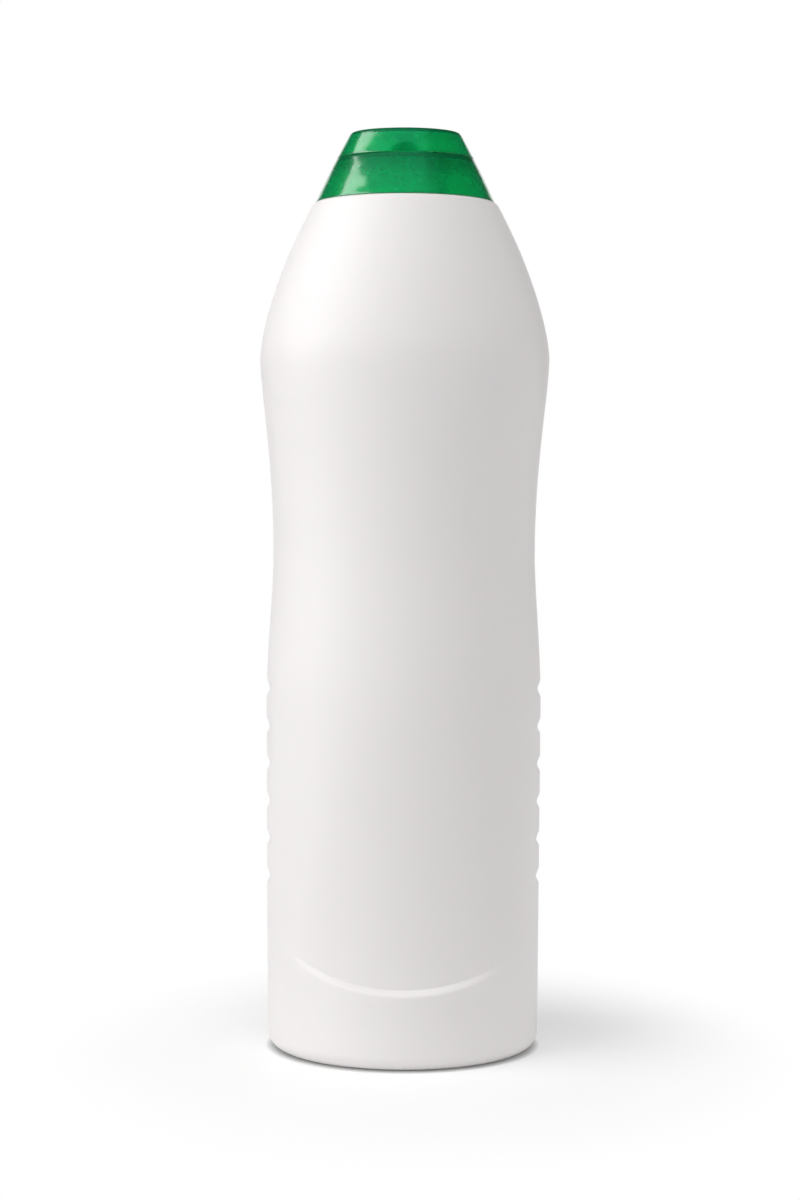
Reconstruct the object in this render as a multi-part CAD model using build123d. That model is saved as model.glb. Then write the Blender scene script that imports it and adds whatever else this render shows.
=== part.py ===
from build123d import *
from math import atan, cos, degrees, radians, sin, sqrt, tan
import os

# Squeeze bottle for a cream cleaner, with a flip-top cap snapped on its neck.
# Millimetres. The origin is at the middle of the base, Z points up and the front faces minus Y.

# Body outline, as widths across the front
widest_width = 81.6
waist_width = 74.1
grip_width = 78.0
foot_width = 77.2
rim_width = 51.4

# Rises of the body outline, each from the place before it
grip_top_height = 98.0
waist_rise = 43.5
widest_rise = 54.0
shoulder_rise = 43.6
rim_lean = 29.0
rim_round = 0.8

# The body is turned round and then pressed to an oval, this much as deep as it is wide
depth_share = 0.77

# How far each curve of the outline runs on along its end tangents, as shares of its rise
grip_end_share = 0.36
waist_lower_share = 0.27
waist_upper_share = 0.48
widest_lower_share = 0.17
widest_upper_share = 0.13
rim_end_share = 0.53

# Walls and base of the blown shell. Pressing it to the oval thins the front and back walls.
# A thin slice is trimmed off under the base, so that the bottle stands on a flat ring.
side_wall = 1.3
shoulder_wall = 1.6
base_wall = 1.8
base_round = 4.5
ring_width = 2.0
push_up = 3.6
foot_trim = 0.1

# Grip grooves, cut around each side by a round ring-shaped tool
groove_count = 6
groove_pitch = 10.7
lowest_groove_height = 49.2
groove_depth = 0.86
groove_round = 3.1
groove_sweep = 79.0

# Label panel, sunk into front and back, deepest at its curved lower ledge
panel_depth = 1.5
panel_reach = 32.0
panel_top_height = 100.0
ledge_height = 22.0
ledge_tilt = 32.0

# Neck, with its bead at a rise above the rim
neck_diameter = 20.0
neck_bore = 16.4
neck_foot_round = 0.8
bead_rise = 6.1
bead_length = 1.3
bead_reach = 0.7
lug_width = 2.4
lug_height = 3.0
lug_reach = 2.2

# Cap outline. It starts a step inside the body's rim; the seam lies at a rise above the rim,
# and the lid's top at a rise above the seam.
cap_step = 0.5
cap_top_width = 30.7
cap_bulge = 0.28
seam_rise = 12.3
lid_rise = 7.35
cap_top_depth_share = 0.62
cap_ovals = 4
seam_gap = 0.2
cap_wall = 1.2
deck_wall = 1.3
lid_top_wall = 1.3
lid_top_round = 0.9

# Fit of the cap on the bottle
seat_gap = 0.1
neck_gap = 0.2
snap_clearance = 0.15
snap_bead_reach = 0.6
skirt_wall = 1.1
skirt_lift = 3.8
seal_wall = 0.8
seal_length = 2.6
seal_clearance = 0.1
lug_clearance = 0.2

# Dispensing nozzle, lid lip and closing pin
nozzle_diameter = 9.6
nozzle_tip_diameter = 8.6
nozzle_height = 2.2
orifice = 6.0
orifice_lead = 0.35
lip_wall = 0.8
lip_height = 1.0
lip_clearance = 0.2
pin_clearance = 0.1
pin_reach = 1.4
pin_nose = 0.5

# Thumb scoop at the lid's lower front edge
scoop_width = 9.4
scoop_height = 2.7
scoop_depth = 1.0

# Film hinge pads at the back
hinge_width = 12.0
hinge_proud = 0.8
base_pad_height = 2.2
lid_pad_height = 1.0
lid_pad_rise = 3.4
hinge_clearance = 0.1
pad_round = 0.4

# How far cutting tools run past the faces they cut
overrun = 1.0

# Places that follow from the sizes above
waist_height = grip_top_height + waist_rise
widest_height = waist_height + widest_rise
rim_height = widest_height + shoulder_rise
bead_height = rim_height + bead_rise
seam_height = rim_height + seam_rise
cap_top_height = seam_height + lid_rise
cap_bottom_width = rim_width - cap_step * 2
cap_bottom_height = rim_height + seat_gap
skirt_bottom_height = rim_height + skirt_lift
deck_top = seam_height - seam_gap / 2
deck_bottom = deck_top - deck_wall
neck_top_height = deck_bottom - neck_gap
nozzle_top = deck_top + nozzle_height
lid_bottom = seam_height + seam_gap / 2
lid_ceiling = cap_top_height - lid_top_wall


def near_vertex(shape, along, height):
    """The vertex of an upright section that lies nearest to a place in it."""
    return min(shape.vertices(), key=lambda v: (v.X - along) ** 2 + (v.Z - height) ** 2)


def grip_half(height):
    """Half width at a height of the lower body, which narrows a little towards the foot."""
    share = min(height / grip_top_height, 1)
    return (foot_width + (grip_width - foot_width) * share) / 2


def body_outline(inset, floor):
    """Half outline of the body in front view, drawn in by the inset, standing on a floor."""
    foot = foot_width / 2 - inset
    grip = grip_width / 2 - inset
    waist = waist_width / 2 - inset
    widest = widest_width / 2 - inset
    rim = rim_width / 2 - inset
    lower_rise = waist_height - grip_top_height
    middle_rise = widest_height - waist_height
    upper_rise = rim_height - widest_height
    run_out = rim_end_share * upper_rise
    lean = radians(rim_lean)
    ring_inner = foot_width / 2 - base_round - ring_width
    with BuildSketch(Plane.XZ) as outline:
        with BuildLine():
            Line((foot, floor), (grip, grip_top_height))
            Bezier(
                (grip, grip_top_height),
                (grip, grip_top_height + grip_end_share * lower_rise),
                (waist, waist_height - waist_lower_share * lower_rise),
                (waist, waist_height),
            )
            Bezier(
                (waist, waist_height),
                (waist, waist_height + waist_upper_share * middle_rise),
                (widest, widest_height - widest_lower_share * middle_rise),
                (widest, widest_height),
            )
            Bezier(
                (widest, widest_height),
                (widest, widest_height + widest_upper_share * upper_rise),
                (rim + run_out * sin(lean), rim_height - run_out * cos(lean)),
                (rim, rim_height),
            )
            Line((rim, rim_height), (0, rim_height))
            Line((0, rim_height), (0, floor + push_up))
            ThreePointArc(
                (0, floor + push_up),
                (ring_inner / 2, floor + push_up * 3 / 4),
                (ring_inner, floor),
            )
            Line((ring_inner, floor), (foot, floor))
        make_face()
        fillet(near_vertex(outline.sketch, foot, floor), base_round - inset)
    return outline.sketch


def round_body():
    """Outside of the body before it is pressed to its oval."""
    outline = body_outline(0, -foot_trim)
    outline = fillet(near_vertex(outline, rim_width / 2, rim_height), rim_round)
    return revolve(outline, axis=Axis.Z)


def round_cavity():
    """Inside of the body before it is pressed to its oval, closed under the shoulder's top."""
    ceiling = rim_height - shoulder_wall
    cover = Box(
        widest_width,
        widest_width,
        shoulder_wall + overrun,
        align=(Align.CENTER, Align.CENTER, Align.MIN),
    )
    turned = revolve(body_outline(side_wall, base_wall), axis=Axis.Z)
    return turned - Pos(0, 0, ceiling) * cover


def groove_tools(inset):
    """Ring-shaped tools that cut the grip grooves into both sides, grown by the inset."""
    tools = []
    for side in (0, 180):
        for index in range(groove_count):
            height = lowest_groove_height + index * groove_pitch
            ring_centre = grip_half(height) - groove_depth + groove_round - groove_sweep
            ring = Pos(ring_centre, 0, height) * Torus(groove_sweep, groove_round + inset)
            tools.append(Rot(0, 0, side) * ring)
    return tools


def panel_tools(inset):
    """Tools that sink the label panels: what lies above a tilted plane and outside a flatter oval."""
    half = grip_half(ledge_height)
    sunk = panel_depth / depth_share
    edge_depth = sqrt(half**2 - panel_reach**2)
    floor_depth = half - sunk
    floor_half = panel_reach / sqrt(1 - (edge_depth / floor_depth) ** 2)
    flatter_share = floor_depth / floor_half
    rise = panel_top_height - ledge_height
    lean = (grip_half(panel_top_height) - floor_depth) / rise
    low = ledge_height - panel_depth - side_wall
    high = panel_top_height + groove_pitch
    low_depth = floor_depth - lean * (ledge_height - low) - inset
    high_depth = floor_depth + lean * (high - ledge_height) - inset
    core = Cone(low_depth / flatter_share, high_depth / flatter_share, high - low)
    core = Pos(0, 0, (low + high) / 2) * scale(core, by=(1, flatter_share, 1))
    tilt = atan(tan(radians(ledge_tilt)) * depth_share)
    slab = Box(
        widest_width,
        widest_width,
        panel_top_height,
        align=(Align.CENTER, Align.CENTER, Align.MIN),
    )
    slab = Pos(0, -half, ledge_height - inset / cos(tilt)) * Rot(degrees(tilt), 0, 0) * slab
    reach_up = panel_top_height + groove_pitch / 2
    front_side = Pos(0, -half, reach_up / 2) * Box(widest_width, half * 2, reach_up)
    front = (slab & front_side) - core
    return [front, Rot(0, 0, 180) * front]


def neck_form():
    """The round neck with its foot round, snap bead and lead-in, as one turned form."""
    radius = neck_diameter / 2
    bead_radius = radius + bead_reach
    low = rim_height - shoulder_wall / 2
    with BuildSketch(Plane.XZ) as section:
        with BuildLine():
            Polyline(
                (0, low),
                (radius + neck_foot_round, low),
                (radius + neck_foot_round, rim_height),
                (radius, rim_height + neck_foot_round),
                (radius, bead_height),
                (bead_radius, bead_height + bead_reach / 2),
                (bead_radius, bead_height + bead_length / 2),
                (radius, bead_height + bead_length + bead_reach),
                (radius, neck_top_height),
                (0, neck_top_height),
                (0, low),
            )
        make_face()
    return revolve(section.sketch, axis=Axis.Z)


def neck_lugs(clearance):
    """Two lugs beside the neck that keep the cap in line with the body."""
    reach = neck_diameter / 2 + lug_reach + clearance
    height = lug_height + clearance
    bar = Box(
        reach * 2,
        lug_width + clearance * 2,
        height + shoulder_wall / 2,
        align=(Align.CENTER, Align.CENTER, Align.MIN),
    )
    return Pos(0, 0, rim_height - shoulder_wall / 2) * bar


def make_bottle():
    """The blown shell, pressed from round to oval, with its neck, lugs and bore."""
    outside = round_body() - (groove_tools(0) + panel_tools(0))
    cavity = round_cavity() - (groove_tools(side_wall) + panel_tools(side_wall))
    shell = scale(outside - cavity, by=(1, depth_share, 1))
    shell -= Box(
        widest_width,
        widest_width,
        overrun,
        align=(Align.CENTER, Align.CENTER, Align.MAX),
    )
    shell += neck_form()
    shell += neck_lugs(0)
    low = rim_height - shoulder_wall - overrun
    high = neck_top_height + overrun
    bore = Cylinder(neck_bore / 2, high - low, align=(Align.CENTER, Align.CENTER, Align.MIN))
    return shell - Pos(0, 0, low) * bore


def cap_half(height):
    """Half width of the cap's outside at a height, on a slightly bulged line."""
    t = (height - cap_bottom_height) / (cap_top_height - cap_bottom_height)
    straight = cap_bottom_width / 2 + t * (cap_top_width - cap_bottom_width) / 2
    return straight + 4 * cap_bulge * t * (1 - t)


def cap_depth(height):
    """Half depth of the cap's outside at a height, from the body's oval to a slimmer one."""
    t = (height - cap_bottom_height) / (cap_top_height - cap_bottom_height)
    return cap_half(height) * (depth_share + t * (cap_top_depth_share - depth_share))


def cap_form(low, high, inset):
    """Part of the cap's outer form between two heights, drawn in by a wall, as a loft of ovals."""
    sections = []
    for index in range(cap_ovals):
        height = low + (high - low) * index / (cap_ovals - 1)
        oval = Ellipse(cap_half(height) - inset, cap_depth(height) - inset)
        sections.append(Pos(0, 0, height) * oval)
    return loft(sections)


def tube(outer, inner, low, high):
    """A round tube on the Z axis between two heights, given by its two radii."""
    up = (Align.CENTER, Align.CENTER, Align.MIN)
    body = Cylinder(outer, high - low, align=up)
    hole = Cylinder(inner, high - low, align=up)
    return Pos(0, 0, low) * (body - hole)


hinge_face = cap_depth(seam_height) + hinge_proud
hinge_axis_depth = hinge_face + hinge_clearance


def inner_skirt():
    """Skirt around the neck, with the bead that holds under the neck's own bead."""
    bead_radius = neck_diameter / 2 + bead_reach
    inner = bead_radius + snap_clearance
    outer = inner + skirt_wall
    snap = inner - snap_bead_reach
    snap_top = bead_height - snap_clearance
    with BuildSketch(Plane.XZ) as section:
        with BuildLine():
            Polyline(
                (inner, deck_bottom),
                (outer, deck_bottom),
                (outer, skirt_bottom_height),
                (inner, skirt_bottom_height),
                (snap, skirt_bottom_height + snap_bead_reach),
                (snap, snap_top - snap_bead_reach / 2),
                (inner, snap_top),
                (inner, deck_bottom),
            )
        make_face()
    return revolve(section.sketch, axis=Axis.Z)


def nozzle():
    """The short tapered spout on the deck."""
    up = (Align.CENTER, Align.CENTER, Align.MIN)
    spout = Cone(nozzle_diameter / 2, nozzle_tip_diameter / 2, nozzle_height, align=up)
    return Pos(0, 0, deck_top) * spout


def orifice_tool():
    """Drill for the orifice, with its lead-in at the nozzle's tip."""
    up = (Align.CENTER, Align.CENTER, Align.MIN)
    low = deck_bottom - overrun
    drill = Pos(0, 0, low) * Cylinder(orifice / 2, nozzle_top + overrun - low, align=up)
    lead = Cone(orifice / 2, orifice / 2 + orifice_lead, orifice_lead, align=up)
    return drill + Pos(0, 0, nozzle_top - orifice_lead) * lead


def lid_lip():
    """Low lip on the deck just inside the lid's wall, open where the thumb scoop bulges in."""
    outside = cap_wall + lip_clearance
    rim = cap_form(deck_top, deck_top + lip_height, outside)
    rim -= cap_form(deck_top, deck_top + lip_height, outside + lip_wall)
    return rim - scoop_tool(outside)


def hinge_pad(low, high, top):
    """Pad on the cap's back with half of the film hinge: upright from low to high, then sloped."""
    root = cap_depth(top) - cap_wall / 2
    with BuildSketch(Plane.YZ) as section:
        with BuildLine():
            Polyline(
                (root, low),
                (hinge_face, low),
                (hinge_face, high),
                (root, top),
                close=True,
            )
        make_face()
    pad = extrude(section.sketch, amount=hinge_width / 2, both=True)
    corners = pad.edges().filter_by(Axis.Z).group_by(Axis.Y)[-1]
    return fillet(corners, pad_round)


def make_cap_base():
    """Oval cap base: outer skirt, deck, nozzle, inner skirt, neck seal, lip and hinge pad."""
    shell = cap_form(cap_bottom_height, deck_top, 0)
    shell += hinge_pad(deck_top - base_pad_height, deck_top, deck_top)
    shell -= cap_form(cap_bottom_height, deck_bottom, cap_wall)
    seal_radius = neck_bore / 2 - seal_clearance
    shell += inner_skirt()
    shell += tube(seal_radius, seal_radius - seal_wall, deck_bottom - seal_length, deck_bottom)
    shell += nozzle()
    shell += lid_lip()
    shell -= orifice_tool()
    return shell - neck_lugs(lug_clearance)


def scoop_tool(inset):
    """Leaning cylinder that carves the thumb scoop, grown by the inset."""
    seam_depth = cap_depth(lid_bottom)
    wall_bend = cap_half(lid_bottom) ** 2 / seam_depth
    radius = 1 / (2 * scoop_depth / (scoop_width / 2) ** 2 - 1 / wall_bend)
    fall = seam_depth - cap_depth(lid_bottom + scoop_height)
    lean = (fall - scoop_depth) / scoop_height
    place = Plane(
        origin=(0, scoop_depth - seam_depth - radius, lid_bottom),
        x_dir=(1, 0, 0),
        z_dir=(0, lean, 1),
    )
    return place * Cylinder(radius + inset, scoop_width * 2)


def closing_pin():
    """Pin with a coned nose that closes the orifice from the lid's ceiling."""
    radius = orifice / 2 - pin_clearance
    tip = nozzle_top - pin_reach
    with BuildSketch(Plane.XZ) as section:
        with BuildLine():
            Polyline(
                (0, tip),
                (radius - pin_nose, tip),
                (radius, tip + pin_nose),
                (radius, lid_ceiling),
                (0, lid_ceiling),
                (0, tip),
            )
        make_face()
    return revolve(section.sketch, axis=Axis.Z)


def make_flip_lid():
    """Hinged lid: oval shell with rounded top edge, thumb scoop, closing pin and hinge pad."""
    outside = cap_form(lid_bottom, cap_top_height, 0)
    outside = fillet(outside.edges().group_by(Axis.Z)[-1], lid_top_round)
    outside += hinge_pad(lid_bottom, lid_bottom + lid_pad_height, lid_bottom + lid_pad_rise)
    inside = cap_form(lid_bottom, lid_ceiling, cap_wall)
    shell = (outside - scoop_tool(0)) - (inside - scoop_tool(cap_wall))
    return shell + closing_pin()


parts = {
    "bottle": make_bottle,
    "cap_base": make_cap_base,
    "flip_lid": make_flip_lid,
}
os.makedirs("parts", exist_ok=True)
for name, make in parts.items():
    solid = make()
    export_step(solid, f"parts/{name}.step")
    print(name, round(solid.volume), "cubic mm")
print("hinge axis at Y", round(hinge_axis_depth, 3), "and Z", seam_height)
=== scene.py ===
import math

import bmesh
import bpy
import numpy as np
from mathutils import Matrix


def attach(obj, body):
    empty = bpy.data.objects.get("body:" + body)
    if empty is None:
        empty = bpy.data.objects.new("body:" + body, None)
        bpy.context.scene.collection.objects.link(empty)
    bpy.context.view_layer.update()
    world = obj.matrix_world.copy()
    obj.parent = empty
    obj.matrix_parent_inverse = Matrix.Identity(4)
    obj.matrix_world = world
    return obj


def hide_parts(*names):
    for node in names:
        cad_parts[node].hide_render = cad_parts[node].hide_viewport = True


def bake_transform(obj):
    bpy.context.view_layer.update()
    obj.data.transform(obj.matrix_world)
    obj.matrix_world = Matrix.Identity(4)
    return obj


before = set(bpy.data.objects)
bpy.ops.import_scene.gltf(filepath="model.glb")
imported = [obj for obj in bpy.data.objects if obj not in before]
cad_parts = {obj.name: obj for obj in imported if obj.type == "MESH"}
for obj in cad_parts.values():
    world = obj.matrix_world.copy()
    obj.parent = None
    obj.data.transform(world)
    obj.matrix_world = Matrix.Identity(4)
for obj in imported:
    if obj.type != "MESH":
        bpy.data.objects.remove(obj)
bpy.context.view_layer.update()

# Lengths are in metres. The bottle stands on Z = 0 and its front faces minus Y.
MM = 0.001

# Body outline: half widths across the front, and heights
GRIP_HALF = 39.0 * MM
FOOT_HALF = 38.6 * MM
WAIST_HALF = 37.05 * MM
WIDEST_HALF = 40.8 * MM
RIM_HALF = 25.7 * MM
GRIP_TOP = 98.0 * MM
WAIST_HEIGHT = 141.5 * MM
WIDEST_HEIGHT = 195.5 * MM
RIM_HEIGHT = 239.1 * MM
RIM_LEAN = math.radians(29.0)
RIM_ROUND = 0.8 * MM
RIM_START = 1.5 * RIM_ROUND
RIM_CUT = 1.4 * RIM_ROUND
DEPTH_SHARE = 0.77
GRIP_END_SHARE = 0.36
WAIST_LOWER_SHARE = 0.27
WAIST_UPPER_SHARE = 0.48
WIDEST_LOWER_SHARE = 0.17
WIDEST_UPPER_SHARE = 0.13
RIM_END_SHARE = 0.53

# Base and walls
SIDE_WALL = 1.3 * MM
SHOULDER_WALL = 1.6 * MM
BASE_WALL = 1.8 * MM
CEILING = RIM_HEIGHT - SHOULDER_WALL
BASE_ROUND = 4.5 * MM
RING_WIDTH = 2.0 * MM
PUSH_UP = 3.6 * MM
PUSH_UP_CENTRE_SHARE = 0.05
PUSH_UP_EDGE_SHARE = 0.97

# Grip grooves
GROOVE_COUNT = 6
GROOVE_PITCH = 10.7 * MM
LOWEST_GROOVE = 49.2 * MM
GROOVE_DEPTH = 0.86 * MM
GROOVE_ROUND = 3.1 * MM
GROOVE_SWEEP = 79.0 * MM
GROOVE_SOFT = 0.16 * MM
GROOVE_LOW = 46.0 * MM
GROOVE_HIGH = 107.0 * MM
GROOVE_SIDE_SHARE = 0.7
GROOVE_FADE = 0.4 * MM

# Label panels and the smile-shaped ledge below each
PANEL_DEPTH = 1.85 * MM
PANEL_REACH = 32.0 * MM
PANEL_TOP = 100.0 * MM
PANEL_SOFT = 0.25 * MM
PANEL_EDGE_SHARE = 0.97
PANEL_FADE = 5.0 * MM
LEDGE_HEIGHT = 22.45 * MM
LEDGE_SLOPE = 0.68
LEDGE_FACE = 0.7 * MM
LEDGE_BLEND = 1.3 * MM

# Neck
NECK_RADIUS = 10.0 * MM
NECK_BORE = 8.2 * MM
NECK_TOP = 249.8 * MM
NECK_FOOT = 0.8 * MM
BEAD_HEIGHT = 245.2 * MM
BEAD_LENGTH = 1.3 * MM
BEAD_REACH = 0.7 * MM
LUG_HALF = 1.2 * MM
LUG_HEIGHT = 3.0 * MM
LUG_REACH = 2.2 * MM
LUG_EDGE = 0.3 * MM
NECK_TOLERANCE = 0.01 * MM

# Cap outline
CAP_BOTTOM = 239.2 * MM
CAP_TOP = 258.75 * MM
CAP_BOTTOM_HALF = 25.2 * MM
CAP_TOP_HALF = 15.35 * MM
CAP_BULGE = 0.28 * MM
CAP_TOP_DEPTH_SHARE = 0.62
CAP_WALL = 1.2 * MM
DECK_TOP = 251.3 * MM
DECK_BOTTOM = 250.0 * MM
LID_BOTTOM = 251.5 * MM
LID_CEILING = 257.45 * MM
LID_TOP_ROUND = 0.9 * MM
LID_TOP_EDGE = 2.2 * LID_TOP_ROUND
LID_TOP_BEND = 1.3 * LID_TOP_ROUND
LID_TOP_SHARES = (0.06, 0.2, 0.4, 0.6, 0.75)
LID_EDGE_RISE = 1.5 * MM
EDGE_ROUND = 0.22 * MM
FINE_ROUND = 0.12 * MM

# Inner skirt, seal, nozzle, lip and pin
SKIRT_INNER = 10.85 * MM
SKIRT_OUTER = 11.95 * MM
SKIRT_BOTTOM = 242.9 * MM
SNAP_RADIUS = 10.25 * MM
SNAP_CLEARANCE = 0.15 * MM
SNAP_RAMP = 0.3 * MM
SNAP_LEAD = 0.6 * MM
SEAL_OUTER = 8.1 * MM
SEAL_INNER = 7.3 * MM
SEAL_BOTTOM = 247.4 * MM
FOOT_RUN = 0.8 * MM
NOZZLE_FOOT = 4.8 * MM
NOZZLE_TIP = 4.3 * MM
NOZZLE_TOP = 253.5 * MM
ORIFICE = 3.0 * MM
ORIFICE_LEAD = 0.35 * MM
LIP_INSET = 1.4 * MM
LIP_WALL = 0.8 * MM
LIP_HEIGHT = 1.0 * MM
LIP_GAP_SHARE = 0.75
PIN_RADIUS = 2.9 * MM
PIN_TIP = 252.1 * MM
PIN_NOSE = 0.5 * MM
PIN_FOOT = 1.5 * MM

# Thumb scoop and hinge
SCOOP_WIDTH = 9.4 * MM
SCOOP_HEIGHT = 2.7 * MM
SCOOP_DEPTH = 1.0 * MM
SCOOP_SOFT = 0.05 * MM
HINGE_HALF = 6.0 * MM
PAD_PROUD = 0.8 * MM
PAD_EDGE = 0.5 * MM
PAD_NEAR_WALL = 0.3 * MM
BASE_PAD_DROP = 2.2 * MM
LID_PAD_DROP = 1.0 * MM
LID_PAD_HEIGHT = 1.0 * MM
LID_PAD_RISE = 3.4 * MM
HINGE_HEIGHT = 251.4 * MM
FILM_INSET = 1.0 * MM
FILM_SUNK = 0.08 * MM
FILM_PROUD = 0.18 * MM
FILM_REACH = 0.9 * MM
FILM_THIN_SHARE = 0.55
FILM_THIN_REACH = 0.5 * MM

# White plastic: noise scales are per metre
WHITE_TINTS = (0.868, 0.835, 0.828, 1.0), (0.892, 0.860, 0.852, 1.0)
WHITE_TINT_SCALE = 18.0
WHITE_ROUGHNESS = 0.40, 0.50
WHITE_ROUGHNESS_SCALE = 55.0
WHITE_IOR = 1.5
GRAIN_SCALE = 1600.0
GRAIN_STRENGTH = 0.12
GRAIN_HEIGHT = 0.02 * MM
WAVE_SCALE = 120.0
WAVE_STRENGTH = 0.15
WAVE_HEIGHT = 0.05 * MM
SCATTER_SHARE = 0.25
SCATTER_TINT = (1.0, 0.9, 0.8)
SCATTER_REACH = 2.0 * MM

# Green plastic, with shade painted in a band at the deck
GREEN_TINTS = (0.0, 0.86, 0.25, 1.0), (0.0, 0.94, 0.30, 1.0)
GREEN_TINT_SCALE = 60.0
GREEN_ROUGHNESS = 0.24, 0.30
GREEN_ROUGHNESS_SCALE = 140.0
GREEN_IOR = 1.49
GREEN_SPECULAR = 0.1
GREEN_SPECULAR_TINT = (0.0, 0.6, 0.3, 1.0)
SEE_THROUGH = 0.85
DEPTH_TINT = (0.0, 0.83, 0.88, 1.0)
DEPTH_DENSITY = 2000.0
GLOSS_ROUGHNESS = 0.08, 0.15
GLOSS_ROUGHNESS_SCALE = 90.0
GLOSS_IOR = 1.8
GLOSS_WAVE_SCALE = 105.0
GLOSS_WAVE_DETAIL = 1.5
GLOSS_WAVE_STRENGTH = 0.9
GLOSS_WAVE_HEIGHT = 0.5 * MM
# Painted shade below the seam: the height where it starts, where it is darkest, and its level
PAINTED_SHADE_LOW = 244.0 * MM
PAINTED_SHADE_FULL = 0.75
PAINTED_SHADE_LEVEL = 0.76

# Light levels of the world and the paper, where 1 is white
ROOM_LIGHT = 0.14
ROOM_MIRRORED = 0.02
BOUNCE_NEAR = 0.80
BOUNCE_FAR = 0.68
PAPER_WHITE = 0.6
PAPER_LIFT = 0.41
# Share of the paper's colour and own light left at the darkest of the painted contact shade
PAINTED_CONTACT_SHADE = 0.2

# Finish of the paper
PAPER_ROUGHNESS = 0.6
PAPER_SPECULAR = 0.1

# Shadow on the paper: reach of the painted shade along the contact line, and where the shadow fades out
PAINTED_CONTACT_REACH = 2.5 * MM
SHADOW_CENTRE = (5.0 * MM, -5.0 * MM, 0.0)
SHADOW_KEPT = 45.0 * MM
SHADOW_GONE = 112.0 * MM

# Sizes of the paper sheets
FLOOR_HALF = 2.5
BACKDROP_HALF = 0.6
BACKDROP_HEIGHT = 0.8
BEND_START = 0.6
BEND = 0.4
BEND_ROWS = 17
SHEET_LIFT = 1.0 * MM

# Lamps and camera: the lens and the sensor are in millimetres, as Blender takes them
LIGHT_TARGET = np.array([0.0, 0.0, 0.14])
CAMERA_PLACE = (-1.22 * MM, -548.0 * MM, 154.5 * MM)
CAMERA_PITCH = math.radians(2.82)
CAMERA_ROLL = math.radians(-0.19)
SENSOR_HEIGHT = 36.0
LENS = 57.9
CLIP_START = 0.01

# Longest cut at a corner, as a share of the shorter line beside it
LONGEST_CUT_SHARE = 0.45

# Spacing and number of the rows of points in the skins
WALL_STEP = 1.6 * MM
GROOVE_STEP = 0.42 * MM
INNER_STEP = 4.0 * MM
INNER_GROOVE_STEP = 1.2 * MM
NECK_STEP = 3.0 * MM
CAP_STEP = 0.8 * MM
CAP_ROUND_STEP = 1.6 * MM
LID_STEP = 0.45 * MM
PIN_STEP = 1.2 * MM
BASE_ROWS = 12
LEDGE_BLEND_ROWS = 6
LEDGE_FACE_ROWS = 4
PANEL_ROWS = 14
RIM_ROWS = 8
FLAT_ROWS = 3
CEILING_ROWS = 2
UNDER_DECK_ROWS = 4
EDGE_ROWS = 4
LID_TOP_ROWS = 8
FILM_ROWS = 13
FILM_COLUMNS = 9
COLUMNS = 200
TURN = np.linspace(0.0, 2.0 * math.pi, COLUMNS, endpoint=False)
ACROSS = np.cos(TURN)
FORE_AFT = np.sin(TURN)


def flat(height):
    """The same height all round a row."""
    return np.full(COLUMNS, height)


def row(x, y, z):
    """One row of points around the Z axis."""
    return np.stack([x, y, z], axis=1)


def circle_row(radius, height):
    """A round row."""
    return row(radius * ACROSS, radius * FORE_AFT, flat(height))


def between(first, last, count):
    """Rows that lead evenly from one row to another, without those two."""
    return [first + (last - first) * (i + 1) / (count + 1) for i in range(count)]


def on_bend(start, corner, end, t):
    """A point at a share of the way along a bend that rounds a corner."""
    return (1 - t) ** 2 * start + 2 * t * (1 - t) * corner + t * t * end


def rounded(points, radius, steps=3):
    """A corner list with each inner corner replaced by a small arc-like bend."""
    points = [np.array(p, float) for p in points]
    out = [points[0]]
    for before, corner, after in zip(points, points[1:], points[2:]):
        back = before - corner
        ahead = after - corner
        shorter = min(np.linalg.norm(back), np.linalg.norm(ahead))
        cut = min(radius, LONGEST_CUT_SHARE * shorter)
        start = corner + back / np.linalg.norm(back) * cut
        end = corner + ahead / np.linalg.norm(ahead) * cut
        for t in np.linspace(0.0, 1.0, steps + 1):
            out.append(on_bend(start, corner, end, t))
    out.append(points[-1])
    return out


def refined(points, step):
    """The same line with its long runs divided."""
    out = [points[0]]
    for a, b in zip(points, points[1:]):
        count = max(1, int(math.ceil(np.linalg.norm(b - a) / step)))
        for i in range(count):
            out.append(a + (b - a) * (i + 1) / count)
    return out


def soft_min(a, b, width):
    """The smaller of two values, with a smooth change from one to the other."""
    return 0.5 * (a + b - np.sqrt((a - b) ** 2 + width * width))


def soft_max(a, b, width):
    """The larger of two values, with a smooth change from one to the other."""
    return 0.5 * (a + b + np.sqrt((a - b) ** 2 + width * width))


def placed(name, data):
    """A new object in the scene for a mesh, a lamp or a camera."""
    obj = bpy.data.objects.new(name, data)
    bpy.context.scene.collection.objects.link(obj)
    return obj


def skin(name, rows, ring=False):
    """A closed mesh through rows of points. A ring joins its last row to the first, else both ends close."""
    verts = np.concatenate(rows)
    count = len(rows)
    faces = []
    index = np.arange(COLUMNS)
    after = (index + 1) % COLUMNS
    for r in range(count if ring else count - 1):
        low = r * COLUMNS
        high = ((r + 1) % count) * COLUMNS
        quads = np.stack([low + index, low + after, high + after, high + index], axis=1)
        faces.extend(quads.tolist())
    if not ring:
        ends = []
        for r in (0, count - 1):
            ends.append(rows[r].mean(axis=0))
            pole = len(verts) + len(ends) - 1
            low = r * COLUMNS
            fan = np.stack([low + index, low + after, np.full(COLUMNS, pole)], axis=1)
            faces.extend(fan.tolist())
        verts = np.concatenate([verts, np.array(ends)])
    mesh = bpy.data.meshes.new(name)
    mesh.from_pydata(verts.tolist(), [], faces)
    tidy = bmesh.new()
    tidy.from_mesh(mesh)
    bmesh.ops.recalc_face_normals(tidy, faces=tidy.faces)
    tidy.to_mesh(mesh)
    tidy.free()
    mesh.polygons.foreach_set("use_smooth", [True] * len(mesh.polygons))
    return placed(name, mesh)


# Body of the bottle


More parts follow.
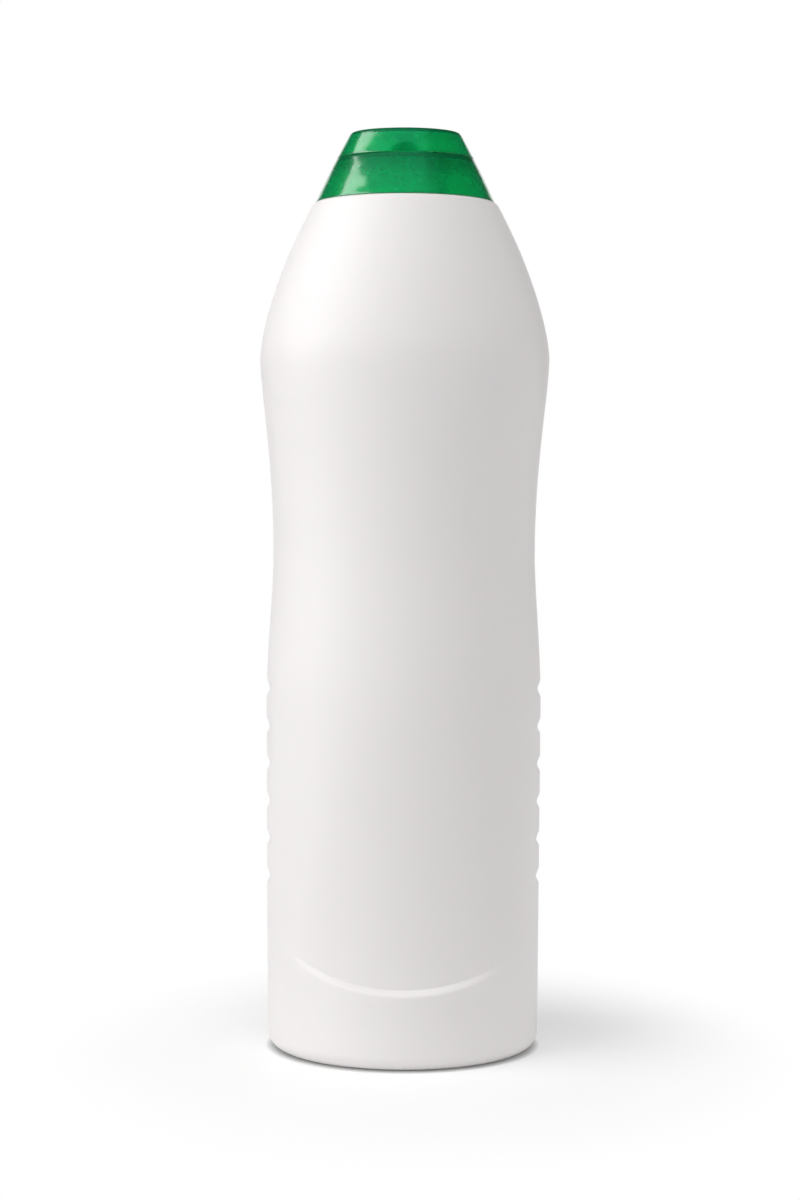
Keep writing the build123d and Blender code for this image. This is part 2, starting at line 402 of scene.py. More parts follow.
def curve(points, steps=80):
    """Points (half width, height) along a cubic curve."""
    t = np.linspace(0.0, 1.0, steps)[:, None]
    p = np.array(points, float)
    return (1 - t) ** 3 * p[0] + 3 * t * (1 - t) ** 2 * p[1] + 3 * t * t * (1 - t) * p[2] + t**3 * p[3]


def body_curve():
    """The body's outline from the top of the straight grip to the rim, as (half width, height)."""
    lower = WAIST_HEIGHT - GRIP_TOP
    middle = WIDEST_HEIGHT - WAIST_HEIGHT
    upper = RIM_HEIGHT - WIDEST_HEIGHT
    run = RIM_END_SHARE * upper
    to_waist = curve([
        (GRIP_HALF, GRIP_TOP),
        (GRIP_HALF, GRIP_TOP + GRIP_END_SHARE * lower),
        (WAIST_HALF, WAIST_HEIGHT - WAIST_LOWER_SHARE * lower),
        (WAIST_HALF, WAIST_HEIGHT),
    ])
    to_widest = curve([
        (WAIST_HALF, WAIST_HEIGHT),
        (WAIST_HALF, WAIST_HEIGHT + WAIST_UPPER_SHARE * middle),
        (WIDEST_HALF, WIDEST_HEIGHT - WIDEST_LOWER_SHARE * middle),
        (WIDEST_HALF, WIDEST_HEIGHT),
    ])
    to_rim = curve([
        (WIDEST_HALF, WIDEST_HEIGHT),
        (WIDEST_HALF, WIDEST_HEIGHT + WIDEST_UPPER_SHARE * upper),
        (RIM_HALF + run * math.sin(RIM_LEAN), RIM_HEIGHT - run * math.cos(RIM_LEAN)),
        (RIM_HALF, RIM_HEIGHT),
    ])
    return np.concatenate([to_waist, to_widest[1:], to_rim[1:]])


OUTLINE = body_curve()


def body_half(z):
    """Half width of the body's outside at a height above the base round."""
    lower = FOOT_HALF + (GRIP_HALF - FOOT_HALF) * z / GRIP_TOP
    return np.where(z < GRIP_TOP, lower, np.interp(z, OUTLINE[:, 1], OUTLINE[:, 0]))


def panel_sink(x, z):
    """How deep the label panel lies under the plain oval."""
    low_half = float(body_half(LEDGE_HEIGHT))
    deep = low_half * DEPTH_SHARE
    edge = deep * math.sqrt(1 - (PANEL_REACH / low_half) ** 2)
    floor = deep - PANEL_DEPTH
    share = floor * math.sqrt(1 - (edge / floor) ** 2) / PANEL_REACH
    lean = (GRIP_HALF * DEPTH_SHARE - floor) / (PANEL_TOP - LEDGE_HEIGHT)
    core = floor + lean * (z - LEDGE_HEIGHT)
    half = body_half(z)
    outer = DEPTH_SHARE * np.sqrt(np.maximum(half**2 - x**2, 0.0))
    inner = np.sqrt(np.maximum(core**2 - (share * x) ** 2, 0.0))
    sink = soft_max(outer - inner, 0.0, PANEL_SOFT)
    inside = GRIP_HALF * PANEL_EDGE_SHARE - np.abs(x)
    return np.where(inside > 0.0, sink, 0.0) * np.clip(inside / PANEL_FADE, 0.0, 1.0)


def ledge_line(y):
    """Height of the ledge's sharp upper edge, rising from the middle towards the sides."""
    return LEDGE_HEIGHT + LEDGE_SLOPE * (GRIP_HALF * DEPTH_SHARE - np.abs(y))


def ledge_profile(below):
    """Share of the panel's depth reached at a distance below the ledge's sharp edge."""
    full = LEDGE_FACE + LEDGE_BLEND / 2
    into = np.clip((LEDGE_FACE + LEDGE_BLEND - below) / LEDGE_BLEND, 0.0, 1.0)
    depth = np.where(below < LEDGE_FACE, full - below, LEDGE_BLEND / 2 * into * into)
    return np.clip(depth / full, 0.0, 1.0)


def groove_reach(x, y, z):
    """Moves the sides in to the bottom of the grip grooves, with softened edges."""
    side = np.sign(x)
    out = np.abs(x)
    round_y = y / DEPTH_SHARE
    for i in range(GROOVE_COUNT):
        height = LOWEST_GROOVE + i * GROOVE_PITCH
        half = min(float(body_half(height)), GRIP_HALF)
        centre = half - GROOVE_DEPTH + GROOVE_ROUND - GROOVE_SWEEP
        off = z - height
        near = np.sqrt(np.maximum(GROOVE_ROUND**2 - off**2, 0.0))
        ring = GROOVE_SWEEP - near
        tool = centre + np.sqrt(np.maximum(ring**2 - round_y**2, 0.0))
        cut = soft_min(out, tool, GROOVE_SOFT)
        use = (np.abs(off) < GROOVE_ROUND) & (out > GROOVE_SIDE_SHARE * GRIP_HALF)
        fade = np.clip((GROOVE_ROUND - np.abs(off)) / GROOVE_FADE, 0.0, 1.0)
        out = np.where(use, out + (np.minimum(cut, out) - out) * fade, out)
    return side * out


def oval_row(half, height):
    """A plain oval row of the body."""
    return row(half * ACROSS, DEPTH_SHARE * half * FORE_AFT, flat(height))


def body_row(z, inset, below=0.0):
    """A row of the wall at heights z, drawn in by the inset, with panels and grooves sunk in."""
    half = body_half(z)
    x = (half - inset) * ACROSS
    y = DEPTH_SHARE * (half - inset) * FORE_AFT
    y = y - np.sign(y) * panel_sink(half * ACROSS, z) * ledge_profile(below)
    x = groove_reach(x + np.sign(x) * inset, y, z) - np.sign(x) * inset
    return row(x, y, z)


def wall_rows(inset, low, high, step, groove_step):
    """Rows of the body's wall from low to high, which follow the ledge and are close at the grooves."""
    line = ledge_line(DEPTH_SHARE * GRIP_HALF * FORE_AFT)
    ledge = LEDGE_FACE + LEDGE_BLEND
    foot = line - ledge
    rows = []
    for t in np.arange(0.0, 1.0, 2 * step / (LEDGE_HEIGHT - low)):
        rows.append(body_row(low + (foot - low) * t, inset, ledge))
    for below in np.linspace(ledge, LEDGE_FACE, LEDGE_BLEND_ROWS, endpoint=False):
        rows.append(body_row(line - below, inset, below))
    for below in np.linspace(LEDGE_FACE, 0.0, LEDGE_FACE_ROWS):
        rows.append(body_row(line - below, inset, below))
    for t in np.linspace(0.0, 1.0, PANEL_ROWS)[1:]:
        rows.append(body_row(line + (GROOVE_LOW - line) * t * t, inset))
    for z in np.arange(GROOVE_LOW + groove_step, GROOVE_HIGH, groove_step):
        rows.append(body_row(flat(z), inset))
    for z in np.arange(GROOVE_HIGH, high, step):
        rows.append(body_row(flat(z), inset))
    return rows


def base_rows(inset, floor):
    """Rows of the base from its middle to the top of the base round."""
    rows = []
    ring_inner = FOOT_HALF - BASE_ROUND - RING_WIDTH
    for r in np.linspace(PUSH_UP_CENTRE_SHARE, PUSH_UP_EDGE_SHARE, BASE_ROWS) * ring_inner:
        rows.append(oval_row(r, floor + PUSH_UP * (1 - (r / ring_inner) ** 2)))
    for r in (ring_inner, ring_inner + RING_WIDTH / 2):
        rows.append(oval_row(r, floor))
    radius = BASE_ROUND - inset
    for angle in np.linspace(0.0, math.pi / 2, BASE_ROWS, endpoint=False):
        half = FOOT_HALF - BASE_ROUND + radius * math.sin(angle)
        rows.append(oval_row(half, floor + radius * (1 - math.cos(angle))))
    return rows


def lugged(points):
    """Pushes the two sides of a neck row out to the lugs that steady the cap."""
    x, y, z = points.T
    edge = np.clip((LUG_HALF - np.abs(y)) / LUG_EDGE, 0.0, 1.0)
    use = (z < RIM_HEIGHT + LUG_HEIGHT) & (np.hypot(x, y) > NECK_RADIUS - NECK_TOLERANCE)
    out = np.maximum(NECK_RADIUS + LUG_REACH - np.abs(x), 0.0)
    return row(np.where(use, x + np.sign(x) * edge * out, x), y, z)


def neck_rows():
    """Rows of the round neck from the shoulder's flat top to the ceiling of the cavity."""
    line = rounded([
        (NECK_RADIUS + 2 * NECK_FOOT, RIM_HEIGHT),
        (NECK_RADIUS + NECK_FOOT / 2, RIM_HEIGHT),
        (NECK_RADIUS, RIM_HEIGHT + NECK_FOOT),
        (NECK_RADIUS, RIM_HEIGHT + LUG_HEIGHT),
        (NECK_RADIUS, BEAD_HEIGHT),
        (NECK_RADIUS + BEAD_REACH, BEAD_HEIGHT + BEAD_REACH / 2),
        (NECK_RADIUS + BEAD_REACH, BEAD_HEIGHT + BEAD_LENGTH / 2),
        (NECK_RADIUS, BEAD_HEIGHT + BEAD_LENGTH + BEAD_REACH),
        (NECK_RADIUS, NECK_TOP),
        (NECK_BORE, NECK_TOP),
        (NECK_BORE, CEILING),
        (NECK_BORE + NECK_FOOT, CEILING),
    ], EDGE_ROUND)
    return [lugged(circle_row(r, z)) for r, z in refined(line, NECK_STEP)]


def rim_rows():
    """Rows of the rounded edge between the shoulder and its flat top."""
    corner = np.array([RIM_HALF, RIM_HEIGHT])
    start = corner + np.array([math.sin(RIM_LEAN), -math.cos(RIM_LEAN)]) * RIM_CUT
    end = corner - np.array([RIM_CUT, 0.0])
    return [oval_row(*on_bend(start, corner, end, t)) for t in np.linspace(0.0, 1.0, RIM_ROWS)]


def make_bottle():
    """The blown shell as one closed skin: outside, neck, bore and cavity."""
    outside = base_rows(0.0, 0.0)
    outside += wall_rows(0.0, BASE_ROUND, RIM_HEIGHT - RIM_START, WALL_STEP, GROOVE_STEP)
    outside += rim_rows()
    inside = base_rows(SIDE_WALL, BASE_WALL)
    inner_low = BASE_WALL + BASE_ROUND - SIDE_WALL
    inside += wall_rows(SIDE_WALL, inner_low, CEILING, INNER_STEP, INNER_GROOVE_STEP)
    inside += [body_row(flat(CEILING), SIDE_WALL)]
    neck = neck_rows()
    top = between(outside[-1], neck[0], FLAT_ROWS)
    under = between(neck[-1], inside[-1], CEILING_ROWS)
    return skin("bottle_shell", outside + top + neck + under + inside[::-1])


# Cap


def cap_share(z):
    """How far up the cap a height lies, from 0 at its bottom to 1 at its top."""
    return (z - CAP_BOTTOM) / (CAP_TOP - CAP_BOTTOM)


def cap_half(z):
    """Half width of the cap's outside at a height."""
    t = cap_share(z)
    return CAP_BOTTOM_HALF + t * (CAP_TOP_HALF - CAP_BOTTOM_HALF) + 4 * CAP_BULGE * t * (1 - t)


def cap_deep(z):
    """Half depth of the cap's outside at a height."""
    return cap_half(z) * (DEPTH_SHARE + cap_share(z) * (CAP_TOP_DEPTH_SHARE - DEPTH_SHARE))


def cap_row(inset, z):
    """An oval row of the cap, drawn in by the inset."""
    return row((cap_half(z) - inset) * ACROSS, (cap_deep(z) - inset) * FORE_AFT, flat(z))


HINGE_FACE = cap_deep(HINGE_HEIGHT) + PAD_PROUD


def hinge_swell(points, low, high, top):
    """Pushes the back of a row out to the hinge pad, full from low to high and back at the wall at top."""
    x, y, z = points.T
    wall = cap_deep(z) * np.sqrt(np.maximum(1 - (x / cap_half(z)) ** 2, 0.0))
    slope = (HINGE_FACE - cap_deep(top) + CAP_WALL / 2) / (top - high) if top > high else 0.0
    face = HINGE_FACE - slope * np.maximum(z - high, 0.0)
    edge = np.clip((HINGE_HALF - np.abs(x)) / PAD_EDGE, 0.0, 1.0)
    edge = edge * edge * (3 - 2 * edge)
    use = (y > 0) & (z > low) & (np.abs(y - wall) < PAD_NEAR_WALL)
    y = np.where(use, y + edge * np.maximum(face - y, 0.0), y)
    return row(x, y, z)


def scooped(points, inset):
    """Pulls the front of a row in to the thumb scoop."""
    x, y, z = points.T
    seam_deep = cap_deep(LID_BOTTOM)
    bend = cap_half(LID_BOTTOM) ** 2 / seam_deep
    radius = 1 / (2 * SCOOP_DEPTH / (SCOOP_WIDTH / 2) ** 2 - 1 / bend)
    lean = (seam_deep - cap_deep(LID_BOTTOM + SCOOP_HEIGHT) - SCOOP_DEPTH) / SCOOP_HEIGHT
    centre = SCOOP_DEPTH - seam_deep - radius + lean * (z - LID_BOTTOM)
    reach = radius + inset
    tool = centre + np.sqrt(np.maximum(reach**2 - x**2, 0.0))
    cut = soft_max(y, tool, SCOOP_SOFT)
    return row(x, np.where((y < 0) & (np.abs(x) < SCOOP_WIDTH), cut, y), z)


def cap_wall_rows():
    """Oval rows of the cap base: the wall's inside and outside, the deck's edge and the lip."""
    line = rounded([
        (CAP_WALL, DECK_BOTTOM - 2 * EDGE_ROUND),
        (CAP_WALL, CAP_BOTTOM),
        (0.0, CAP_BOTTOM),
        (0.0, DECK_TOP),
        (LIP_INSET, DECK_TOP),
        (LIP_INSET, DECK_TOP + LIP_HEIGHT),
        (LIP_INSET + LIP_WALL, DECK_TOP + LIP_HEIGHT),
        (LIP_INSET + LIP_WALL, DECK_TOP),
        (LIP_INSET + 2 * LIP_WALL, DECK_TOP),
    ], EDGE_ROUND, EDGE_ROWS)
    rows = []
    for inset, z in refined(line, CAP_STEP):
        points = hinge_swell(cap_row(inset, z), DECK_TOP - BASE_PAD_DROP, DECK_TOP, DECK_TOP)
        if z > DECK_TOP + FINE_ROUND:
            gap = (points[:, 1] < 0) & (np.abs(points[:, 0]) < LIP_GAP_SHARE * SCOOP_WIDTH)
            points[gap, 2] = DECK_TOP + FINE_ROUND
        rows.append(points)
    return rows


def cap_core_rows():
    """Round rows of the cap base: nozzle, orifice, sealing ring and inner skirt."""
    snap_top = BEAD_HEIGHT - SNAP_CLEARANCE
    line = rounded([
        (NOZZLE_FOOT + FOOT_RUN, DECK_TOP),
        (NOZZLE_FOOT, DECK_TOP),
        (NOZZLE_TIP, NOZZLE_TOP),
        (ORIFICE + ORIFICE_LEAD, NOZZLE_TOP),
        (ORIFICE, NOZZLE_TOP - ORIFICE_LEAD),
        (ORIFICE, DECK_BOTTOM),
        (SEAL_INNER, DECK_BOTTOM),
        (SEAL_INNER, SEAL_BOTTOM),
        (SEAL_OUTER, SEAL_BOTTOM),
        (SEAL_OUTER, DECK_BOTTOM),
        (SKIRT_INNER, DECK_BOTTOM),
        (SKIRT_INNER, snap_top),
        (SNAP_RADIUS, snap_top - SNAP_RAMP),
        (SNAP_RADIUS, SKIRT_BOTTOM + SNAP_LEAD),
        (SKIRT_INNER, SKIRT_BOTTOM),
        (SKIRT_OUTER, SKIRT_BOTTOM),
        (SKIRT_OUTER, DECK_BOTTOM),
        (SKIRT_OUTER + FOOT_RUN, DECK_BOTTOM),
    ], FINE_ROUND)
    return [circle_row(r, z) for r, z in refined(line, CAP_ROUND_STEP)]


def make_cap_base():
    """Cap base as one closed skin, from the wall over the deck to the core and back under the deck."""
    wall = cap_wall_rows()
    core = cap_core_rows()
    corner = cap_row(CAP_WALL, DECK_BOTTOM)
    rows = wall + between(wall[-1], core[0], FLAT_ROWS) + core
    rows += between(core[-1], corner, UNDER_DECK_ROWS) + [corner]
    return skin("cap_base_shell", rows, ring=True)


def lid_wall_rows():
    """Oval rows of the lid: rounded top edge, wall with pad and scoop, and inside."""
    line = rounded([
        (LID_TOP_EDGE, CAP_TOP),
        (0.0, CAP_TOP),
        (0.0, LID_BOTTOM + LID_EDGE_RISE),
    ], LID_TOP_BEND, LID_TOP_ROWS)[:-1]
    line += rounded([
        (0.0, LID_BOTTOM + LID_EDGE_RISE),
        (0.0, LID_BOTTOM),
        (CAP_WALL, LID_BOTTOM),
        (CAP_WALL, LID_CEILING),
        (3 * CAP_WALL, LID_CEILING),
    ], EDGE_ROUND, EDGE_ROWS)
    pad = (LID_BOTTOM - LID_PAD_DROP, LID_BOTTOM + LID_PAD_HEIGHT, LID_BOTTOM + LID_PAD_RISE)
    rows = []
    for inset, z in refined(line, LID_STEP):
        points = hinge_swell(cap_row(inset, z), *pad)
        rows.append(scooped(points, min(inset, CAP_WALL)))
    return rows


def pin_rows():
    """Round rows of the closing pin, from the lid's ceiling to the pin's tip."""
    line = rounded([
        (PIN_RADIUS + PIN_FOOT, LID_CEILING),
        (PIN_RADIUS, LID_CEILING),
        (PIN_RADIUS, PIN_TIP + PIN_NOSE),
        (PIN_RADIUS - PIN_NOSE, PIN_TIP),
        (PIN_RADIUS / 3, PIN_TIP),
    ], FINE_ROUND)
    return [circle_row(r, z) for r, z in refined(line, PIN_STEP)]


def make_flip_lid():
    """Flip lid as one closed skin: flat top, wall, ceiling and closing pin."""
    half = cap_half(CAP_TOP)
    deep = cap_deep(CAP_TOP)
    top = [row(half * s * ACROSS, deep * s * FORE_AFT, flat(CAP_TOP)) for s in LID_TOP_SHARES]
    wall = lid_wall_rows()
    pin = pin_rows()
    return skin("flip_lid_shell", top + wall + between(wall[-1], pin[0], FLAT_ROWS) + pin)


def make_hinge_film():
    """Thin film across the seam at the back, thinnest at the hinge's height."""
    half = HINGE_HALF - FILM_INSET
    inner = HINGE_FACE - FILM_SUNK
    outer = HINGE_FACE + FILM_PROUD
    middle = (inner + outer) / 2
    mesh = bpy.data.meshes.new("hinge_film")
    shape = bmesh.new()
    across = np.linspace(-half, half, FILM_COLUMNS)
    loops = []
    for z in np.linspace(HINGE_HEIGHT - FILM_REACH, HINGE_HEIGHT + FILM_REACH, FILM_ROWS):
        away = min(1.0, abs(z - HINGE_HEIGHT) / FILM_THIN_REACH)
        thick = (outer - inner) / 2 * (FILM_THIN_SHARE + (1 - FILM_THIN_SHARE) * away)
        back = [shape.verts.new((x, middle + thick, z)) for x in across]
        front = [shape.verts.new((x, middle - thick, z)) for x in across[::-1]]
        loops.append(back + front)
    for a, b in zip(loops, loops[1:]):
        for i in range(len(a)):
            j = (i + 1) % len(a)
            shape.faces.new((a[i], a[j], b[j], b[i]))
    shape.faces.new(loops[0][::-1])
    shape.faces.new(loops[-1])
    bmesh.ops.recalc_face_normals(shape, faces=shape.faces)
    shape.to_mesh(mesh)
    shape.free()
    return placed("hinge_film", mesh)


# Materials


def new_material(name):
    """A node material, with its node tree and its main shader."""
    material = bpy.data.materials.new(name)
    material.use_nodes = True
    tree = material.node_tree
    shader = tree.nodes["Principled BSDF"]
    return material, tree, shader


def noise(tree, coordinates, scale, detail=3.0):
    """A noise texture at the given coordinates, from 0 to 1."""
    node = tree.nodes.new("ShaderNodeTexNoise")
    node.inputs["Scale"].default_value = scale
    node.inputs["Detail"].default_value = detail
    tree.links.new(coordinates, node.inputs["Vector"])
    return node.outputs["Fac"]


def ramp(tree, value, low, high):
    """Maps 0 to 1 to a colour between two colours."""
    node = tree.nodes.new("ShaderNodeValToRGB")
    for element, colour in zip(node.color_ramp.elements, (low, high)):
        element.color = colour
    tree.links.new(value, node.inputs["Fac"])
    return node.outputs["Color"]


def grey(level):
    """A colour without hue."""
    return (level, level, level, 1.0)


def spread(tree, value, low, high):
    """Maps 0 to 1 to a range of numbers."""
    node = tree.nodes.new("ShaderNodeMapRange")
    node.inputs["To Min"].default_value = low
    node.inputs["To Max"].default_value = high
    tree.links.new(value, node.inputs["Value"])
    return node.outputs["Result"]


def bump(tree, value, strength, distance, before=None):
    """A normal bent by a height map, on top of another normal where one is given."""
    node = tree.nodes.new("ShaderNodeBump")
    node.inputs["Strength"].default_value = strength
    node.inputs["Distance"].default_value = distance
    tree.links.new(value, node.inputs["Height"])
    if before is not None:
        tree.links.new(before, node.inputs["Normal"])
    return node.outputs["Normal"]


def white_hdpe():
    """Blown white polyethylene: satin, faintly uneven, a little light passing into it."""
    material, tree, shader = new_material("white_hdpe")
    place = tree.nodes.new("ShaderNodeTexCoord").outputs["Object"]
    tint = ramp(tree, noise(tree, place, WHITE_TINT_SCALE, detail=2.0), *WHITE_TINTS)
    tree.links.new(tint, shader.inputs["Base Color"])
    satin = spread(tree, noise(tree, place, WHITE_ROUGHNESS_SCALE), *WHITE_ROUGHNESS)
    tree.links.new(satin, shader.inputs["Roughness"])
    grain = bump(tree, noise(tree, place, GRAIN_SCALE, detail=2.0), GRAIN_STRENGTH, GRAIN_HEIGHT)
    waves = bump(tree, noise(tree, place, WAVE_SCALE, detail=1.0), WAVE_STRENGTH, WAVE_HEIGHT, grain)
    tree.links.new(waves, shader.inputs["Normal"])
    shader.inputs["IOR"].default_value = WHITE_IOR
    shader.inputs["Subsurface Weight"].default_value = SCATTER_SHARE
    shader.inputs["Subsurface Radius"].default_value = SCATTER_TINT
    shader.inputs["Subsurface Scale"].default_value = SCATTER_REACH
    return material


def painted_deck_shade(tree, place, tint):
    """Darkens a colour in the band just below the seam, where the deck joins the outer wall: painted shade.
    """
    split = tree.nodes.new("ShaderNodeSeparateXYZ")
    tree.links.new(place, split.inputs[0])
    rise = tree.nodes.new("ShaderNodeMapRange")
    rise.inputs["From Min"].default_value = PAINTED_SHADE_LOW
    rise.inputs["From Max"].default_value = DECK_TOP
    tree.links.new(split.outputs["Z"], rise.inputs["Value"])
    band = tree.nodes.new("ShaderNodeValToRGB")
    band.color_ramp.interpolation = "EASE"
    band.color_ramp.elements[0].color = grey(1.0)
    band.color_ramp.elements[1].position = PAINTED_SHADE_FULL
    band.color_ramp.elements[1].color = grey(PAINTED_SHADE_LEVEL)
    last = band.color_ramp.elements.new(1.0)
    last.color = grey(1.0)
    tree.links.new(rise.outputs["Result"], band.inputs["Fac"])
    product = tree.nodes.new("ShaderNodeVectorMath")
    product.operation = "MULTIPLY"
    tree.links.new(tint, product.inputs[0])
    tree.links.new(band.outputs["Color"], product.inputs[1])
    return product.outputs["Vector"]


def green_pp(name, with_painted_shade=False):
    """Moulded green polypropylene: glossy, see-through, with faint flow marks."""
    material, tree, shader = new_material(name)
    place = tree.nodes.new("ShaderNodeTexCoord").outputs["Object"]
    tint = ramp(tree, noise(tree, place, GREEN_TINT_SCALE, detail=2.0), *GREEN_TINTS)
    # Where asked, shade is painted into the colour in a band just below the seam
    if with_painted_shade:
        tint = painted_deck_shade(tree, place, tint)
    tree.links.new(tint, shader.inputs["Base Color"])
    cloud = spread(tree, noise(tree, place, GREEN_ROUGHNESS_SCALE), *GREEN_ROUGHNESS)
    tree.links.new(cloud, shader.inputs["Roughness"])
    polish = spread(tree, noise(tree, place, GLOSS_ROUGHNESS_SCALE), *GLOSS_ROUGHNESS)
    tree.links.new(polish, shader.inputs["Coat Roughness"])
    uneven = noise(tree, place, GLOSS_WAVE_SCALE, GLOSS_WAVE_DETAIL)
    gloss_waves = bump(tree, uneven, GLOSS_WAVE_STRENGTH, GLOSS_WAVE_HEIGHT)
    tree.links.new(gloss_waves, shader.inputs["Coat Normal"])
    shader.inputs["Coat Weight"].default_value = 1.0
    shader.inputs["Coat IOR"].default_value = GLOSS_IOR
    shader.inputs["IOR"].default_value = GREEN_IOR
    shader.inputs["Specular IOR Level"].default_value = GREEN_SPECULAR
    shader.inputs["Specular Tint"].default_value = GREEN_SPECULAR_TINT
    shader.inputs["Transmission Weight"].default_value = SEE_THROUGH
    tint_by_depth = tree.nodes.new("ShaderNodeVolumeAbsorption")
    tint_by_depth.inputs["Color"].default_value = DEPTH_TINT
    tint_by_depth.inputs["Density"].default_value = DEPTH_DENSITY
    tree.links.new(tint_by_depth.outputs[0], tree.nodes["Material Output"].inputs["Volume"])
    return material


def dress(obj, material):
    """Gives a piece its material."""
    obj.data.materials.clear()
    obj.data.materials.append(material)


# The four pieces, the bodies they ride on and the nodes they replace

white = white_hdpe()
green = green_pp("green_pp")
# The cap base's green has shade painted in a band below the seam
green_with_painted_shade = green_pp("green_pp_painted_shade", with_painted_shade=True)

bottle = make_bottle()
dress(bottle, white)
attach(bottle, "bottle_body")
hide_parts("bottle")

cap_base = make_cap_base()
dress(cap_base, green_with_painted_shade)
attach(cap_base, "bottle_body")
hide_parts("cap_base")

flip_lid = make_flip_lid()
dress(flip_lid, green)
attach(flip_lid, "lid_body")
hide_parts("flip_lid")

film = make_hinge_film()
dress(film, green)
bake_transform(film)


# Stage, light and camera


def larger(tree, first, second):
    """The larger of two values."""
    node = tree.nodes.new("ShaderNodeMath")
    node.operation = "MAXIMUM"
    tree.links.new(first, node.inputs[0])
    tree.links.new(second, node.inputs[1])
    return node.outputs[0]


def shown_white(tree):
    """1 for rays from the camera, from gloss and through clear plastic, else 0."""
    path = tree.nodes.new("ShaderNodeLightPath")
    direct = larger(tree, path.outputs["Is Camera Ray"], path.outputs["Is Glossy Ray"])
    return larger(tree, direct, path.outputs["Is Transmission Ray"])


def mixed(tree, share, first, second):
    """One shader or the other, by a share from 0 to 1."""
    mix = tree.nodes.new("ShaderNodeMixShader")
    tree.links.new(share, mix.inputs["Fac"])
    tree.links.new(first, mix.inputs[1])
    tree.links.new(second, mix.inputs[2])
    return mix.outputs[0]


def make_world():
    """Dim even light: white to the camera and through clear plastic, and nearly black in gloss."""
    world = bpy.data.worlds.new("studio_room")
    bpy.context.scene.world = world
    world.use_nodes = True
    # Its level differs by the kind of ray, so it isn't sampled as a lamp
    world.cycles.sampling_method = "NONE"
    tree = world.node_tree
    path = tree.nodes.new("ShaderNodeLightPath")
    seen = larger(tree, path.outputs["Is Camera Ray"], path.outputs["Is Transmission Ray"])
    level = spread(tree, path.outputs["Is Glossy Ray"], ROOM_LIGHT, ROOM_MIRRORED)
    room = tree.nodes["Background"]
    room.inputs["Color"].default_value = grey(1.0)
    tree.links.new(larger(tree, seen, level), room.inputs["Strength"])


def shadow_fade(tree):
    """0 near the bottle, where the paper keeps the shadow, and 1 from where it has run out."""
    place = tree.nodes.new("ShaderNodeTexCoord").outputs["Object"]
    away = tree.nodes.new("ShaderNodeVectorMath")
    away.operation = "DISTANCE"
    away.inputs[1].default_value = SHADOW_CENTRE
    tree.links.new(place, away.inputs[0])
    fade = tree.nodes.new("ShaderNodeMapRange")
    fade.interpolation_type = "SMOOTHSTEP"
    fade.inputs["From Min"].default_value = SHADOW_KEPT
    fade.inputs["From Max"].default_value = SHADOW_GONE
    tree.links.new(away.outputs["Value"], fade.inputs["Value"])
    return fade.outputs["Result"]


def shadowed_paper(tree, shader):
    """The paper near the bottle: a little lifted by its own light, and with shade painted where the two
    touch.
    """
    # Painted shade: closeness to the bottle darkens the paper's colour and its own light
    closeness = tree.nodes.new("ShaderNodeAmbientOcclusion")
    closeness.inputs["Distance"].default_value = PAINTED_CONTACT_REACH
    open_share = spread(tree, closeness.outputs["AO"], PAINTED_CONTACT_SHADE, 1.0)
    tint = ramp(tree, open_share, grey(0.0), grey(PAPER_WHITE))
    tree.links.new(tint, shader.inputs["Base Color"])
    shader.inputs["Roughness"].default_value = PAPER_ROUGHNESS
    shader.inputs["Specular IOR Level"].default_value = PAPER_SPECULAR
    lift = tree.nodes.new("ShaderNodeEmission")
    tree.links.new(spread(tree, open_share, 0.0, PAPER_LIFT), lift.inputs["Strength"])
    near = tree.nodes.new("ShaderNodeAddShader")
    tree.links.new(shader.outputs[0], near.inputs[0])
    tree.links.new(lift.outputs[0], near.inputs[1])
    return near.outputs[0]


def paper_material():
    """White paper: keeps the bottle's shadow near the base and runs out to even white."""
    material, tree, shader = new_material("white_paper")
    fade = shadow_fade(tree)
    even_white = tree.nodes.new("ShaderNodeEmission")
    even_white.inputs["Strength"].default_value = 1.0
    seen = mixed(tree, fade, shadowed_paper(tree, shader), even_white.outputs[0])
    bounce = tree.nodes.new("ShaderNodeBsdfDiffuse")
    reflected = ramp(tree, fade, grey(BOUNCE_NEAR), grey(BOUNCE_FAR))
    tree.links.new(reflected, bounce.inputs["Color"])
    out = mixed(tree, shown_white(tree), bounce.outputs[0], seen)
    tree.links.new(out, tree.nodes["Material Output"].inputs["Surface"])
    return material


def sheet(name, profile, half):
    """A sheet of paper of a half width, through points (Y, Z) from front to back."""
    verts = []
    for y, z in profile:
        verts += [(-half, y, z), (half, y, z)]
    faces = [(2 * i, 2 * i + 1, 2 * i + 3, 2 * i + 2) for i in range(len(profile) - 1)]
    mesh = bpy.data.meshes.new(name)
    mesh.from_pydata(verts, [], faces)
    mesh.polygons.foreach_set("use_smooth", [True] * len(mesh.polygons))
    obj = placed(name, mesh)
    return obj


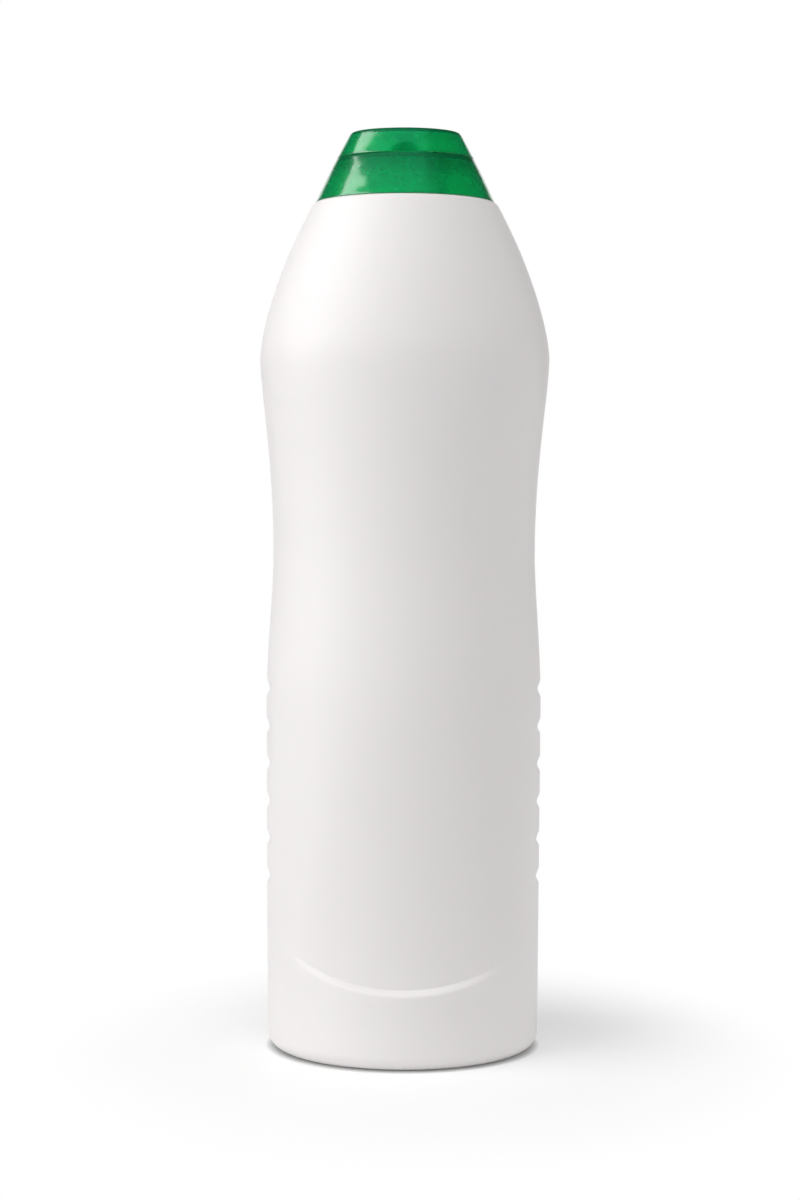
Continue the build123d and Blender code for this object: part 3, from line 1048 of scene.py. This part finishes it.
def make_paper():
    """A wide white floor, and behind it a narrower sheet that curves up."""
    material = paper_material()
    floor = sheet("paper_floor", [(-FLOOR_HALF, 0.0), (FLOOR_HALF, 0.0)], FLOOR_HALF)
    floor.data.materials.append(material)
    bend = [(BEND_START + BEND * math.sin(a), SHEET_LIFT + BEND * (1 - math.cos(a)))
            for a in np.linspace(0.0, math.pi / 2, BEND_ROWS)]
    behind = sheet("paper_backdrop", bend + [(BEND_START + BEND, BACKDROP_HEIGHT)], BACKDROP_HALF)
    behind.data.materials.append(material)


def look_rotation(direction):
    """Angles that turn a light's minus Z axis to a direction, kept upright."""
    x, y, z = direction
    level = math.hypot(x, y)
    return (math.atan2(level, -z), 0.0, math.atan2(y, x) - math.pi / 2)


def area_light(name, turn, rise, distance, size, power, mirrored=True):
    """A rectangular soft lamp: degrees left of the front and above the level, metres, and watts."""
    turn = math.radians(turn)
    rise = math.radians(rise)
    way = np.array([-math.sin(turn) * math.cos(rise), -math.cos(turn) * math.cos(rise), math.sin(rise)])
    data = bpy.data.lights.new(name, "AREA")
    data.shape = "RECTANGLE"
    data.size, data.size_y = size
    data.energy = power
    obj = placed(name, data)
    obj.location = LIGHT_TARGET + way * distance
    obj.rotation_euler = look_rotation(-way)
    obj.visible_glossy = mirrored


def make_camera():
    """The camera at the photo's viewing angle."""
    data = bpy.data.cameras.new("camera")
    data.sensor_fit = "VERTICAL"
    data.sensor_height = SENSOR_HEIGHT
    data.lens = LENS
    data.clip_start = CLIP_START
    camera = placed("camera", data)
    camera.location = CAMERA_PLACE
    camera.rotation_euler = (math.pi / 2 - CAMERA_PITCH, CAMERA_ROLL, 0.0)
    bpy.context.scene.camera = camera


make_world()
make_paper()
area_light("softbox_left", turn=67.0, rise=28.0, distance=1.5, size=(1.2, 1.6), power=17.8)
area_light("fill_right", turn=-100.0, rise=7.0, distance=1.2, size=(1.0, 0.28), power=4.0, mirrored=False)
area_light("fill_front", turn=-24.0, rise=8.0, distance=1.3, size=(1.3, 0.6), power=3.5, mirrored=False)
area_light("fill_top", turn=20.0, rise=68.0, distance=1.3, size=(1.2, 0.7), power=6.4, mirrored=False)
make_camera()
bpy.context.scene.view_settings.view_transform = "Standard"
